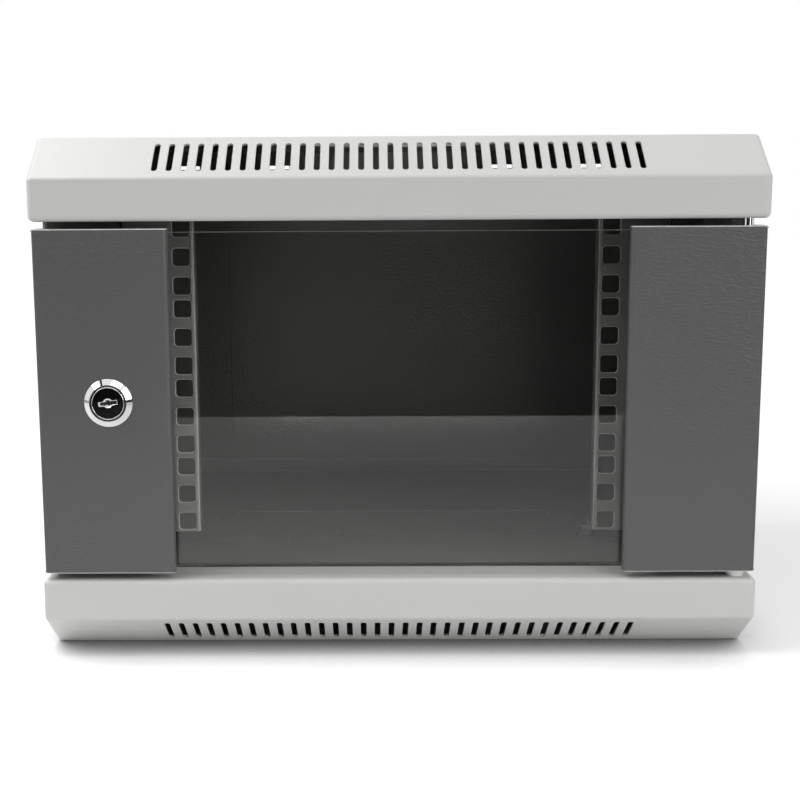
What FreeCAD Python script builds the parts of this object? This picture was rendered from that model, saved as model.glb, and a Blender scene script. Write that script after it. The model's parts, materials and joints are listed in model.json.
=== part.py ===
# Ten-inch wall-mount network cabinet, four rack units high, built from separate sheet-metal pieces.
# X runs to the right, Y to the back (towards the wall) and Z up, in millimetres.
# The origin is under the middle of the whole cabinet, lock included.
import FreeCAD, Part
import math
import os

V = FreeCAD.Vector
X_AXIS, Y_AXIS, Z_AXIS = V(1, 0, 0), V(0, 1, 0), V(0, 0, 1)

# Cabinet
WIDTH = 371.0                # over the covers
DEPTH = 280.0                # front of the covers to the wall
OPENING = 185.0              # height between the rims of the two covers
SHEET = 1.2
FIT = 0.3                    # gap left between neighbouring loose pieces
BEND = 1.0                   # inside radius of a folded corner

# Covers: pans with a sloped front edge, the upper one a mirror image of the lower
COVER_FRONT = 21.5           # height of the upright front face
CHAMFER_RISE = 20.5
CHAMFER_RUN = 26.5
COVER_END_RADIUS = 3.0
COVER_CREASE_RADIUS = 2.5
COVER_RIM_RADIUS = 3.0       # from the walls into the flange around the mouth
RIM_FRONT = 24.0             # width of the flange turned in around the pan's mouth
RIM_SIDE = 18.0
RIM_REAR = 3.1
SLOT_COUNT = 34
SLOT_PITCH = 7.4
SLOT_WIDTH = 3.1
SLOT_LENGTH = 22.5
GRILLE_BACK = 129.0          # fan grille centre behind the front face
GRILLE_RADIUS = 51.0
GRILLE_RING_PITCH = 11.0
GRILLE_RING_SLOT = 5.5
GRILLE_RINGS = 4
GRILLE_SPOKES = 3
GRILLE_SPOKE = 6.0
REAR_SLOT_WIDTH = 16.0
REAR_SLOT_HEIGHT = 2.5
REAR_SLOT_RISE = 29.75       # centre of the rear slots above the rim
REAR_SLOTS_X = (78.0, 141.0)

# Floor and roof plates, clamped behind the rims
LIP_PROUD = 7.6              # upturned rear lip above the rim
LIP_BACK = 275.5             # front of the lip behind the front face
PLATE_MARGIN = 0.5           # inside the rounded edge of the rim
FAN_HOLE = 98.0
FAN_SCREW_SPACING = 105.0
FAN_SCREW_HOLE = 4.5
KNOCKOUT_WIDTH = 196.0
KNOCKOUT_BACK = 154.0
KNOCKOUT_SLIT = 1.0
KNOCKOUT_HOOK = 7.0
FLOOR_HOLE = 3.4             # two small holes in front of the knock-out's ends
FLOOR_HOLES_X = 107.0
FLOOR_HOLES_BACK = 136.0

# Body
BODY_INSET = 2.0             # side panels inside the ends of the covers
BODY_SETBACK = 21.5          # front flange behind the front face of the covers
BODY_REAR_RECESS = 0.6
BODY_BEND = 2.2
FRONT_FLANGE = 27.0
REAR_FLANGE = 82.0
TAB = 14.0
TAB_RELIEF = 5.0
BACK_PLATE_OVERLAP = 12.0    # spot-welded seam of the back plate on each rear flange
WALL_HOLE = 8.0
WALL_HOLE_INSET = 15.0       # from the side wall, in the rear flange
WALL_HOLES_Z = 100.0

# Rack rails, hole pattern of a ten-inch rack
RACK_UNIT = 44.45
UNITS = 4
HOLE_COLUMNS = 236.525       # between the two columns of holes
HOLE_STEP = 15.875
HOLE_SIZE = 9.5
HOLE_CORNER = 1.0
RAIL_SHEET = 1.5
RAIL_BACK = 68.3             # rail face behind the front face of the covers
RAIL_RISE = 14.5             # lowest hole centre above the lower rim
RAIL_TRIM = 0.3              # rail ends short of the last unit line
RAIL_INNER_EDGE = 111.0
RAIL_OUTER_EDGE = 151.0
RAIL_INNER_RETURN = 9.0
RAIL_OUTER_RETURN = 22.0

# Rail supports, channels along the side panels
SUPPORT_BACK = 66.0
SUPPORT_LENGTH = 196.0
SUPPORT_OUTER = 16.0
SUPPORT_INNER = 30.0
SUPPORT_TAB = 15.0
SUPPORT_SLOT_RISE = 20.0
SUPPORT_SLOT_START = 8.0
SUPPORT_SLOT_LENGTH = 120.0

# Door
DOOR_GAP = 3.6               # above and below the door
DOOR_INSET = 1.5             # door edges inside the ends of the covers
DOOR_THICKNESS = 15.0
STRIP_WIDTH = 68.0
STRIP_STEP = 6.5             # inner edge folds back this far to carry the glass
GLASS_SEAT = 15.0
STRIP_LIP = 12.0
STRIP_CAP = 12.5
GLASS_THICKNESS = 4.0
GLASS_INSET = 2.0
GLASS_SIDE_GAP = 0.6
TAPE = 0.6

# Lock
LOCK_INSET = 36.2            # lock axis from the outer edge of the door
LOCK_RISE = 1.0              # and above the middle of the door
BARREL = 18.0
BARREL_FLATS = 16.0
BARREL_LENGTH = 22.0
BEZEL = 24.7
BEZEL_PROUD = 2.2
BEZEL_EDGE = 0.4             # height of the bezel's rim, where its cone begins
BEZEL_MOUTH = 19.0           # diameter at which the cone ends
BEZEL_LAND = 0.35
BEZEL_GROOVE = 0.9           # depth of the groove between the cone and the inner collar
BEZEL_COLLAR = 17.1
PLUG = 15.8
PLUG_RECESS = 0.2            # behind the collar
PLUG_CLEARANCE = 0.06
KEYWAY_LENGTH = 8.8
KEYWAY_WIDTH = 1.5
KEYWAY_BUMP = 1.3
KEYWAY_DEPTH = 6.0
KEYWAY_FLARE = 0.5           # widening of the slot at the mouth, all around
KEYWAY_FLARE_BUMP = 2.6      # radius of the round flare in the middle
KEYWAY_FLARE_DEPTH = 1.0
KEYWAY_TILT = 8.0
LOCK_NUT_FLATS = 24.0
LOCK_NUT_HEIGHT = 3.5
CAM_THICKNESS = 2.0
CAM_REACH = 20.0
CAM_WIDTH = 15.0
CAM_SQUARE = 8.0
CAM_BEHIND_FLANGE = 1.2
CAM_SCREW = 4.0

# Hinge
HINGE_INSET = 8.3            # pin axis from the outer edge of the door
PIN = 5.0
PIN_CLEARANCE = 0.1
PIN_ENGAGEMENT = 2.6
PIN_HANDLE = 15.0
GUIDE_DROP = 32.0
GUIDE_THICKNESS = 1.5
GUIDE_WIDTH = 16.0
CLIP = 9.0
CLIP_THICKNESS = 1.5
SPRING_WIRE = 0.9
SPRING_TURNS = 5
BUSH = 9.0
BUSH_SLEEVE = 7.0

# Fasteners
CASE_SCREW = 4.0
CASE_SCREWS_BACK = (90.0, 240.0)
RAIL_SCREW = 6.0
STUD = 6.0
STUD_LENGTH = 9.0
STUD_X = 114.0
STUD_BACK = 97.0
BUMPER = 8.0
BUMPER_INSET = 22.0

# Derived places
LOCK_PROUD = BEZEL_PROUD
FRONT = -(DEPTH - LOCK_PROUD) / 2
REAR = FRONT + DEPTH
COVER_HEIGHT = COVER_FRONT + CHAMFER_RISE
LOWER_RIM = COVER_HEIGHT
UPPER_RIM = LOWER_RIM + OPENING
MID_HEIGHT = (LOWER_RIM + UPPER_RIM) / 2
BODY_FRONT = FRONT + BODY_SETBACK
BODY_REAR = REAR - BODY_REAR_RECESS
BODY_HALF = WIDTH / 2 - BODY_INSET
BACK_PLATE_HALF = BODY_HALF - REAR_FLANGE + BACK_PLATE_OVERLAP
DOOR_HALF = WIDTH / 2 - DOOR_INSET
LOCK_X = DOOR_HALF - LOCK_INSET
LOCK_Z = MID_HEIGHT + LOCK_RISE
DOOR_LOW = LOWER_RIM + DOOR_GAP
DOOR_HIGH = UPPER_RIM - DOOR_GAP
DOOR_BACK = FRONT + DOOR_THICKNESS
HINGE_X = DOOR_HALF - HINGE_INSET
HINGE_Y = FRONT + DOOR_THICKNESS / 2
RIM_SCREW_X = WIDTH / 2 - RIM_SIDE / 2
FLOOR_TOP = LOWER_RIM - SHEET
SUPPORT_BASE = LOWER_RIM + SHEET
GLASS_FRONT = FRONT + STRIP_STEP + TAPE
CAM_FRONT = BODY_FRONT + SHEET + CAM_BEHIND_FLANGE


def box(x0, x1, y0, y1, z0, z1):
    return Part.makeBox(x1 - x0, y1 - y0, z1 - z0, V(x0, y0, z0))


def rod(x, y, z, diameter, length, axis=Z_AXIS):
    return Part.makeCylinder(diameter / 2, length, V(x, y, z), axis)


def hexagon(x, y, z, flats, height, axis=Z_AXIS):
    """Hexagonal prism standing on (x, y, z) along axis."""
    corner = flats / math.sqrt(3)
    points = [V(corner * math.cos(k * math.pi / 3), corner * math.sin(k * math.pi / 3), 0) for k in range(7)]
    prism = Part.Face(Part.makePolygon(points)).extrude(V(0, 0, height))
    prism.Placement = FreeCAD.Placement(V(x, y, z), FreeCAD.Rotation(Z_AXIS, axis))
    return prism


def left(shape):
    """The same piece for the other side of the cabinet."""
    return shape.mirror(V(0, 0, 0), X_AXIS)


def upper(shape):
    """The same piece turned over for the top of the cabinet."""
    return shape.mirror(V(0, 0, MID_HEIGHT), Z_AXIS)


def group(solids):
    return Part.makeCompound(solids)


def bent_line(points, radii):
    """Open wire through the points, with an arc of the given radius at each corner between."""
    edges = []
    start = points[0]
    for before, corner, after, radius in zip(points, points[1:], points[2:], radii):
        back = (before - corner).normalize()
        ahead = (after - corner).normalize()
        half = back.getAngle(ahead) / 2
        tangent = radius / math.tan(half)
        middle = corner + (back + ahead).normalize() * (radius / math.sin(half) - radius)
        stop = corner + back * tangent
        edges.append(Part.LineSegment(start, stop).toShape())
        start = corner + ahead * tangent
        edges.append(Part.Arc(stop, middle, start).toShape())
    edges.append(Part.LineSegment(start, points[-1]).toShape())
    return Part.Wire(edges)


def folded_sheet(points, thickness, inside_radius, extrusion):
    """Sheet whose outer skin follows the points; the metal lies on the inside of the first bend."""
    first = (points[1] - points[0]).cross(points[2] - points[1])
    radii = []
    for before, corner, after in zip(points, points[1:], points[2:]):
        same_way = (corner - before).cross(after - corner).dot(first) > 0
        radii.append(inside_radius + thickness if same_way else inside_radius)
    wire = bent_line(points, radii)
    section = wire.makeOffset2D(-thickness, 0, True, True)
    return section.extrude(extrusion)


def oblong(length, width, height):
    """Slot cutter centred on the origin, long side along X, extruded up from -height/2."""
    straight = length - width
    bar = box(-straight / 2, straight / 2, -width / 2, width / 2, -height / 2, height / 2)
    ends = [rod(side * straight / 2, 0, -height / 2, width, height) for side in (-1, 1)]
    return bar.fuse(ends).removeSplitter()


def chamfer_angle():
    return math.atan2(CHAMFER_RISE, CHAMFER_RUN)


def pan_block(inset, mouth, end_radius, crease_radius, rim_radius):
    """Solid block in the outline of the lower cover, moved in from the outer skin by inset."""
    slope = chamfer_angle()
    crease_z = (inset + (CHAMFER_RUN - inset) * math.sin(slope)) / math.cos(slope)
    crease_y = FRONT + CHAMFER_RUN + inset * math.tan(slope / 2)
    side = WIDTH / 2 - inset
    outline = [(FRONT + inset, mouth), (FRONT + inset, crease_z), (crease_y, inset),
               (REAR - inset, inset), (REAR - inset, mouth)]
    points = [V(-side, y, z) for y, z in outline]
    block = Part.Face(Part.makePolygon(points + points[:1])).extrude(V(2 * side, 0, 0))
    ends = [e for e in block.Edges if e.BoundBox.XLength < 1 and e.BoundBox.ZMin < mouth - 1]
    block = block.makeFillet(end_radius, ends)
    creases = [e for e in block.Edges
               if e.BoundBox.XLength > side and e.BoundBox.YLength < 0.01 and e.BoundBox.ZMax < mouth - 1]
    block = block.makeFillet(crease_radius, creases)
    return block.makeFillet(rim_radius, [e for e in block.Edges if e.BoundBox.ZMin > mouth - 0.01])


def front_slots():
    """Row of air slots with clipped ends, square to the sloped edge of the lower cover."""
    slot = box(-SLOT_LENGTH / 2, SLOT_LENGTH / 2, -SLOT_WIDTH / 2, SLOT_WIDTH / 2, -3 * SHEET, 3 * SHEET)
    slot = slot.makeChamfer(0.3 * SLOT_WIDTH, [e for e in slot.Edges if e.BoundBox.ZLength > SHEET])
    down_slope = V(0, math.cos(chamfer_angle()), -math.sin(chamfer_angle()))
    turn = FreeCAD.Rotation(down_slope, X_AXIS, V(0, 0, 0), "XYZ")
    middle = V(0, FRONT + CHAMFER_RUN / 2, CHAMFER_RISE / 2)
    first = -(SLOT_COUNT - 1) * SLOT_PITCH / 2
    slots = []
    for k in range(SLOT_COUNT):
        copy = slot.copy()
        copy.Placement = FreeCAD.Placement(middle + V(first + k * SLOT_PITCH, 0, 0), turn)
        slots.append(copy)
    return slots


def fan_grille():
    """Arc slots in rings around the fan centre, parted by straight spokes."""
    centre = V(0, FRONT + GRILLE_BACK, -SHEET)
    spokes = []
    for k in range(GRILLE_SPOKES):
        spoke = box(0, GRILLE_RADIUS + 1, -GRILLE_SPOKE / 2, GRILLE_SPOKE / 2, 0, 4 * SHEET)
        spoke.Placement = FreeCAD.Placement(centre, FreeCAD.Rotation(Z_AXIS, 90 + 360 * k / GRILLE_SPOKES))
        spokes.append(spoke)
    rings = []
    for k in range(GRILLE_RINGS):
        outer = GRILLE_RADIUS - k * GRILLE_RING_PITCH
        disc = Part.makeCylinder(outer, 4 * SHEET, centre)
        core = Part.makeCylinder(outer - GRILLE_RING_SLOT, 4 * SHEET, centre)
        rings.append(disc.cut(core).cut(spokes))
    return rings


def rear_slots():
    slots = []
    for x in REAR_SLOTS_X:
        for side in (-1, 1):
            slot = oblong(REAR_SLOT_WIDTH, REAR_SLOT_HEIGHT, 6 * SHEET)
            slot.Placement = FreeCAD.Placement(V(side * x, REAR, LOWER_RIM - REAR_SLOT_RISE),
                                               FreeCAD.Rotation(X_AXIS, 90))
            slots.append(slot)
    return slots


def case_screw_places():
    return [(side * RIM_SCREW_X, FRONT + back) for side in (-1, 1) for back in CASE_SCREWS_BACK]


def cover(hinge_hole):
    """Lower cover: pressed pan with air slots, fan grille and a rim flange turned in at its mouth."""
    pan = pan_block(0, LOWER_RIM, COVER_END_RADIUS, COVER_CREASE_RADIUS, COVER_RIM_RADIUS)
    hollow = pan_block(SHEET, LOWER_RIM - SHEET, COVER_END_RADIUS - SHEET, COVER_CREASE_RADIUS - SHEET,
                       COVER_RIM_RADIUS - SHEET)
    mouth = box(-WIDTH / 2 + RIM_SIDE, WIDTH / 2 - RIM_SIDE, FRONT + RIM_FRONT, REAR - RIM_REAR,
                LOWER_RIM - 2 * SHEET, LOWER_RIM + SHEET)
    holes = [rod(x, y, LOWER_RIM - 2 * SHEET, CASE_SCREW, 3 * SHEET) for x, y in case_screw_places()]
    holes.append(rod(HINGE_X, HINGE_Y, LOWER_RIM - 2 * SHEET, hinge_hole, 3 * SHEET))
    return pan.cut([hollow, mouth] + front_slots() + fan_grille() + rear_slots() + holes)


def tray():
    """Plate clamped behind the lower rim, with an upturned lip along its rear edge."""
    half = WIDTH / 2 - COVER_RIM_RADIUS - PLATE_MARGIN
    front = FRONT + COVER_RIM_RADIUS + PLATE_MARGIN
    lip = FRONT + LIP_BACK
    plate = box(-half, half, front, lip + SHEET, FLOOR_TOP - SHEET, FLOOR_TOP)
    corners = [e for e in plate.Edges if e.BoundBox.ZLength > SHEET / 2]
    plate = plate.makeFillet(COVER_END_RADIUS, corners)
    inner = WIDTH / 2 - RIM_SIDE - 2 * FIT
    upright = box(-inner, inner, lip, lip + SHEET, FLOOR_TOP - SHEET, LOWER_RIM + LIP_PROUD)
    holes = [rod(x, y, FLOOR_TOP - 2 * SHEET, CASE_SCREW, 3 * SHEET) for x, y in case_screw_places()]
    holes.append(rod(HINGE_X, HINGE_Y, FLOOR_TOP - 2 * SHEET, BUSH, 3 * SHEET))
    return plate.fuse(upright).removeSplitter().cut(holes)


def floor_plate():
    """Lower tray with the tear line of its cable knock-out, two small holes and that of the earth stud."""
    low, high = FLOOR_TOP - 2 * SHEET, FLOOR_TOP + SHEET
    back = FRONT + KNOCKOUT_BACK
    half = KNOCKOUT_WIDTH / 2
    slit = box(-half, half, back - KNOCKOUT_SLIT, back, low, high)
    hooks = [box(x, x + KNOCKOUT_SLIT, back - KNOCKOUT_HOOK, back, low, high)
             for x in (-half, half - KNOCKOUT_SLIT)]
    holes = [rod(x, FRONT + FLOOR_HOLES_BACK, low, FLOOR_HOLE, high - low)
             for x in (-FLOOR_HOLES_X, FLOOR_HOLES_X)]
    holes.append(rod(STUD_X, FRONT + STUD_BACK, low, STUD, high - low))
    return tray().cut([slit] + hooks + holes)


def roof_plate():
    """Upper tray with the round opening and the screw holes of a fan."""
    low, depth = FLOOR_TOP - 2 * SHEET, 3 * SHEET
    centre_y = FRONT + GRILLE_BACK
    holes = [rod(0, centre_y, low, FAN_HOLE, depth)]
    reach = FAN_SCREW_SPACING / 2
    for x in (-reach, reach):
        for y in (centre_y - reach, centre_y + reach):
            holes.append(rod(x, y, low, FAN_SCREW_HOLE, depth))
    return upper(tray().cut(holes))


def side_panel():
    """Right side: one sheet folded into front flange, wall, rear flange with wall holes, and two tabs."""
    plan = [V(BODY_HALF - FRONT_FLANGE, BODY_FRONT, LOWER_RIM), V(BODY_HALF, BODY_FRONT, LOWER_RIM),
            V(BODY_HALF, BODY_REAR, LOWER_RIM), V(BODY_HALF - REAR_FLANGE, BODY_REAR, LOWER_RIM)]
    shell = folded_sheet(plan, SHEET, BODY_BEND, V(0, 0, OPENING))
    tab = box(BODY_HALF - TAB, BODY_HALF - SHEET / 2, BODY_FRONT + TAB_RELIEF, BODY_REAR - TAB_RELIEF,
              LOWER_RIM, LOWER_RIM + SHEET)
    panel = shell.fuse([tab, upper(tab)]).removeSplitter()
    holes = []
    for x, y in case_screw_places():
        if x > 0:
            hole = rod(x, y, LOWER_RIM - SHEET, CASE_SCREW, 3 * SHEET)
            holes += [hole, upper(hole)]
    for z in (MID_HEIGHT - WALL_HOLES_Z / 2, MID_HEIGHT + WALL_HOLES_Z / 2):
        holes.append(rod(BODY_HALF - WALL_HOLE_INSET, BODY_REAR - 2 * SHEET, z, WALL_HOLE, 3 * SHEET, Y_AXIS))
    return panel.cut(holes)


def back_plate():
    """Plate that closes the back, welded on the inside of the side panels' rear flanges."""
    return box(-BACK_PLATE_HALF, BACK_PLATE_HALF, BODY_REAR - 2 * SHEET, BODY_REAR - SHEET,
               LOWER_RIM + FIT, UPPER_RIM - FIT)


def rack_hole(x, y, z):
    """Square cage-nut hole with slightly clipped corners."""
    half = HOLE_SIZE / 2
    cutter = box(x - half, x + half, y - RAIL_SHEET, y + 2 * RAIL_SHEET, z - half, z + half)
    corners = [e for e in cutter.Edges if e.BoundBox.YLength > RAIL_SHEET]
    return cutter.makeChamfer(HOLE_CORNER, corners)


def rail_screw_place():
    """Depth and lower height of the screws that hold the right rail to its supports."""
    return FRONT + RAIL_BACK + RAIL_OUTER_RETURN / 2, SUPPORT_BASE + SUPPORT_SLOT_RISE


def rail():
    """Right rack rail: U section, its face punched with three square holes per rack unit."""
    face = FRONT + RAIL_BACK
    first_hole = LOWER_RIM + RAIL_RISE
    unit_margin = (RACK_UNIT - 2 * HOLE_STEP) / 2
    low = first_hole - unit_margin + RAIL_TRIM
    length = UNITS * RACK_UNIT - 2 * RAIL_TRIM
    plan = [V(RAIL_INNER_EDGE, face + RAIL_INNER_RETURN, low), V(RAIL_INNER_EDGE, face, low),
            V(RAIL_OUTER_EDGE, face, low), V(RAIL_OUTER_EDGE, face + RAIL_OUTER_RETURN, low)]
    channel = folded_sheet(plan, RAIL_SHEET, BEND / 2, V(0, 0, length))
    holes = [rack_hole(HOLE_COLUMNS / 2, face, first_hole + unit * RACK_UNIT + step * HOLE_STEP)
             for unit in range(UNITS) for step in range(3)]
    screw_y, screw_z = rail_screw_place()
    for z in (screw_z, 2 * MID_HEIGHT - screw_z):
        holes.append(rod(RAIL_OUTER_EDGE - 2 * RAIL_SHEET, screw_y, z, RAIL_SCREW, 3 * RAIL_SHEET, X_AXIS))
    return channel.cut(holes)


def rail_support():
    """Lower right support: channel on the side wall, slotted so that the rail can be set in depth."""
    start = FRONT + SUPPORT_BACK
    outer = BODY_HALF - SHEET
    inner = RAIL_OUTER_EDGE + FIT
    section = [V(outer, start, SUPPORT_BASE + SUPPORT_OUTER), V(outer, start, SUPPORT_BASE),
               V(inner, start, SUPPORT_BASE), V(inner, start, SUPPORT_BASE + SUPPORT_INNER)]
    channel = folded_sheet(section, RAIL_SHEET, BEND / 2, V(0, SUPPORT_LENGTH, 0))
    end_tab = box(inner + RAIL_SHEET / 2, inner + RAIL_SHEET + SUPPORT_TAB, start, start + RAIL_SHEET,
                  SUPPORT_BASE + RAIL_SHEET / 2, SUPPORT_BASE + SUPPORT_OUTER)
    slot = oblong(SUPPORT_SLOT_LENGTH, RAIL_SCREW, 4 * RAIL_SHEET)
    slot.Placement = FreeCAD.Placement(
        V(inner, start + SUPPORT_SLOT_START + SUPPORT_SLOT_LENGTH / 2, SUPPORT_BASE + SUPPORT_SLOT_RISE),
        FreeCAD.Rotation(Y_AXIS, X_AXIS.cross(Y_AXIS), X_AXIS, "XYZ"))
    holes = [rod(x, y, SUPPORT_BASE - SHEET, CASE_SCREW, 3 * RAIL_SHEET)
             for x, y in case_screw_places() if x > 0]
    return channel.fuse(end_tab).removeSplitter().cut([slot] + holes)


def door_strip():
    """Right door strip: folded panel with a stepped inner edge for the glass and closed ends."""
    inner = DOOR_HALF - STRIP_WIDTH
    step = FRONT + STRIP_STEP
    plan = [V(inner + GLASS_SEAT, step, DOOR_LOW), V(inner, step, DOOR_LOW), V(inner, FRONT, DOOR_LOW),
            V(DOOR_HALF, FRONT, DOOR_LOW), V(DOOR_HALF, DOOR_BACK, DOOR_LOW),
            V(DOOR_HALF - STRIP_LIP, DOOR_BACK, DOOR_LOW)]
    panel = folded_sheet(plan, SHEET, BEND, V(0, 0, DOOR_HIGH - DOOR_LOW))
    caps = []
    for low in (DOOR_LOW, DOOR_HIGH - SHEET):
        caps.append(box(inner + GLASS_SEAT + FIT, DOOR_HALF - SHEET / 2, FRONT + SHEET / 2, FRONT + STRIP_CAP,
                        low, low + SHEET))
    return panel.fuse(caps).removeSplitter()


def hinge_strip():
    """Right strip with the holes of the two hinge pins in its ends."""
    holes = [rod(HINGE_X, HINGE_Y, DOOR_HIGH - 2 * SHEET, PIN + 2 * PIN_CLEARANCE, 3 * SHEET),
             rod(HINGE_X, HINGE_Y, DOOR_LOW - SHEET, PIN, 3 * SHEET)]
    return door_strip().cut(holes)


def flatted_barrel(y, length):
    """Round barrel with two flats, along Y at the lock."""
    cylinder = rod(-LOCK_X, y, LOCK_Z, BARREL, length, Y_AXIS)
    flats = box(-LOCK_X - BARREL_FLATS / 2, -LOCK_X + BARREL_FLATS / 2, y, y + length,
                LOCK_Z - BARREL, LOCK_Z + BARREL)
    return cylinder.common(flats)


def lock_strip():
    """Left strip with the flat-sided hole of the lock barrel."""
    return left(door_strip()).cut(flatted_barrel(FRONT - SHEET, 3 * SHEET))


def glass_half():
    inner = DOOR_HALF - STRIP_WIDTH
    return inner + GLASS_SEAT - GLASS_SIDE_GAP


def glass_pane():
    """Toughened glass, bonded behind the stepped edges of the two strips."""
    half = glass_half()
    pane = box(-half, half, GLASS_FRONT, GLASS_FRONT + GLASS_THICKNESS,
               DOOR_LOW + GLASS_INSET, DOOR_HIGH - GLASS_INSET)
    corners = [e for e in pane.Edges if e.BoundBox.YLength > GLASS_THICKNESS / 2]
    return pane.makeFillet(GLASS_SIDE_GAP, corners)


def glazing_tape():
    """Bonding tape between the right strip's step and the glass."""
    inner = DOOR_HALF - STRIP_WIDTH
    return box(inner + 2 * BEND, glass_half(), FRONT + STRIP_STEP, GLASS_FRONT,
               DOOR_LOW + GLASS_INSET + FIT, DOOR_HIGH - GLASS_INSET - FIT)


def lock_housing():
    """Chromed lock body: conical bezel with a grooved collar, and a threaded barrel through the door."""
    bore = PLUG / 2 + PLUG_CLEARANCE
    flange = BEZEL / 2
    mouth = BEZEL_MOUTH / 2
    collar = BEZEL_COLLAR / 2
    front = -BEZEL_PROUD
    profile = [(bore, 0), (flange, 0), (flange, -BEZEL_EDGE), (mouth, front), (mouth - BEZEL_LAND, front),
               (collar, front + BEZEL_GROOVE), (collar, front + BEZEL_LAND / 2),
               (collar - BEZEL_LAND / 2, front), (bore, front)]
    points = [V(radius, y, 0) for radius, y in profile]
    bezel = Part.Face(Part.makePolygon(points + points[:1])).revolve(V(0, 0, 0), Y_AXIS, 360)
    bezel.translate(V(-LOCK_X, FRONT, LOCK_Z))
    barrel = flatted_barrel(FRONT, BARREL_LENGTH)
    bore_cut = rod(-LOCK_X, FRONT - BEZEL_PROUD, LOCK_Z, 2 * bore, BARREL_LENGTH + 2 * BEZEL_PROUD, Y_AXIS)
    return barrel.fuse(bezel).cut(bore_cut)


def lock_plug():
    """Turning core of the lock: black face with the keyway, square tail for the cam."""
    start = FRONT - BEZEL_PROUD + PLUG_RECESS
    tail = CAM_FRONT + CAM_THICKNESS
    core = rod(-LOCK_X, start, LOCK_Z, PLUG, CAM_FRONT - start, Y_AXIS)
    square = box(-LOCK_X - CAM_SQUARE / 2, -LOCK_X + CAM_SQUARE / 2, CAM_FRONT - SHEET, tail,
                 LOCK_Z - CAM_SQUARE / 2, LOCK_Z + CAM_SQUARE / 2)
    tapped = rod(-LOCK_X, tail - 2 * CAM_SCREW, LOCK_Z, CAM_SCREW, 3 * CAM_SCREW, Y_AXIS)
    half, rise = KEYWAY_LENGTH / 2, KEYWAY_WIDTH / 2
    slot = box(-half, half, 0, KEYWAY_DEPTH, -rise, rise)
    flare = Part.makeWedge(-half - KEYWAY_FLARE, 0, -rise - KEYWAY_FLARE, -rise, -half,
                           half + KEYWAY_FLARE, KEYWAY_FLARE_DEPTH, rise + KEYWAY_FLARE, rise, half)
    bump = Part.makeCone(KEYWAY_FLARE_BUMP, KEYWAY_BUMP, KEYWAY_FLARE_DEPTH, V(0, 0, 0), Y_AXIS)
    keyway = slot.fuse([flare, bump, rod(0, 0, 0, 2 * KEYWAY_BUMP, KEYWAY_DEPTH, Y_AXIS)])
    keyway.Placement = FreeCAD.Placement(V(-LOCK_X, start, LOCK_Z),
                                         FreeCAD.Rotation(Y_AXIS, -KEYWAY_TILT))
    return core.fuse(square).cut([tapped, keyway])


def lock_nut():
    nut = hexagon(-LOCK_X, FRONT + SHEET, LOCK_Z, LOCK_NUT_FLATS, LOCK_NUT_HEIGHT, Y_AXIS)
    return nut.cut(flatted_barrel(FRONT, BARREL_LENGTH))


def lock_cam():
    """Latch plate on the tail of the plug, hanging down when the door is unlocked."""
    hub = rod(-LOCK_X, CAM_FRONT, LOCK_Z, CAM_WIDTH, CAM_THICKNESS, Y_AXIS)
    tip = LOCK_Z - CAM_REACH
    arm = box(-LOCK_X - CAM_WIDTH / 2, -LOCK_X + CAM_WIDTH / 2, CAM_FRONT, CAM_FRONT + CAM_THICKNESS,
              tip, LOCK_Z)
    corners = [e for e in arm.Edges if e.BoundBox.YLength > CAM_THICKNESS / 2 and e.BoundBox.ZMin < tip + 1]
    arm = arm.makeFillet(CAM_WIDTH / 5, corners)
    square = box(-LOCK_X - CAM_SQUARE / 2, -LOCK_X + CAM_SQUARE / 2, CAM_FRONT - SHEET,
                 CAM_FRONT + 2 * CAM_THICKNESS, LOCK_Z - CAM_SQUARE / 2, LOCK_Z + CAM_SQUARE / 2)
    return hub.fuse(arm).removeSplitter().cut(square)


def machine_screw(x, y, z, diameter, length, axis):
    """Flat-head machine screw: shank from (x, y, z) along axis, head on the other side."""
    head_height = 0.6 * diameter
    start = V(x, y, z)
    shank = Part.makeCylinder(diameter / 2, length, start, axis)
    head = Part.makeCylinder(0.95 * diameter, head_height, start - axis * head_height, axis)
    return shank.fuse(head)


def ring_nut(x, y, z, diameter, axis):
    """Hexagon nut around a screw, its bearing face at (x, y, z) and its body along axis."""
    height = 0.8 * diameter
    bore = Part.makeCylinder(diameter / 2, height, V(x, y, z), axis)
    return hexagon(x, y, z, 1.75 * diameter, height, axis).cut(bore)


def cam_screw():
    start = CAM_FRONT + CAM_THICKNESS
    return machine_screw(-LOCK_X, start, LOCK_Z, CAM_SCREW, 1.5 * CAM_SCREW, -Y_AXIS)


def pin_top():
    return UPPER_RIM + PIN_ENGAGEMENT


def guide_height():
    return DOOR_HIGH - GUIDE_DROP


def hinge_guide():
    """Angle inside the right strip that steers the lower end of the sprung hinge pin."""
    half = GUIDE_WIDTH / 2
    top = guide_height()
    front = FRONT + SHEET
    shelf = box(HINGE_X - half, HINGE_X + PIN, front, FRONT + STRIP_CAP, top - GUIDE_THICKNESS, top)
    leg = box(HINGE_X - half, HINGE_X + PIN, front, front + GUIDE_THICKNESS, top - GUIDE_WIDTH, top)
    hole = rod(HINGE_X, HINGE_Y, top - GUIDE_WIDTH, PIN + 2 * PIN_CLEARANCE, 2 * GUIDE_WIDTH)
    return shelf.fuse(leg).removeSplitter().cut(hole)


def hinge_pin_top():
    """Sprung pin with a chamfered tip and a handle bent to the open side of the strip."""
    foot = guide_height() - GUIDE_WIDTH
    pin = rod(HINGE_X, HINGE_Y, foot, PIN, pin_top() - foot)
    tip = [e for e in pin.Edges if e.BoundBox.ZMin > pin_top() - 0.1]
    pin = pin.makeChamfer(PIN / 6, tip)
    elbow = Part.makeSphere(PIN / 2, V(HINGE_X, HINGE_Y, foot))
    handle = rod(HINGE_X, HINGE_Y, foot, PIN, PIN_HANDLE, -X_AXIS)
    return pin.fuse([elbow, handle]).removeSplitter()


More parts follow.
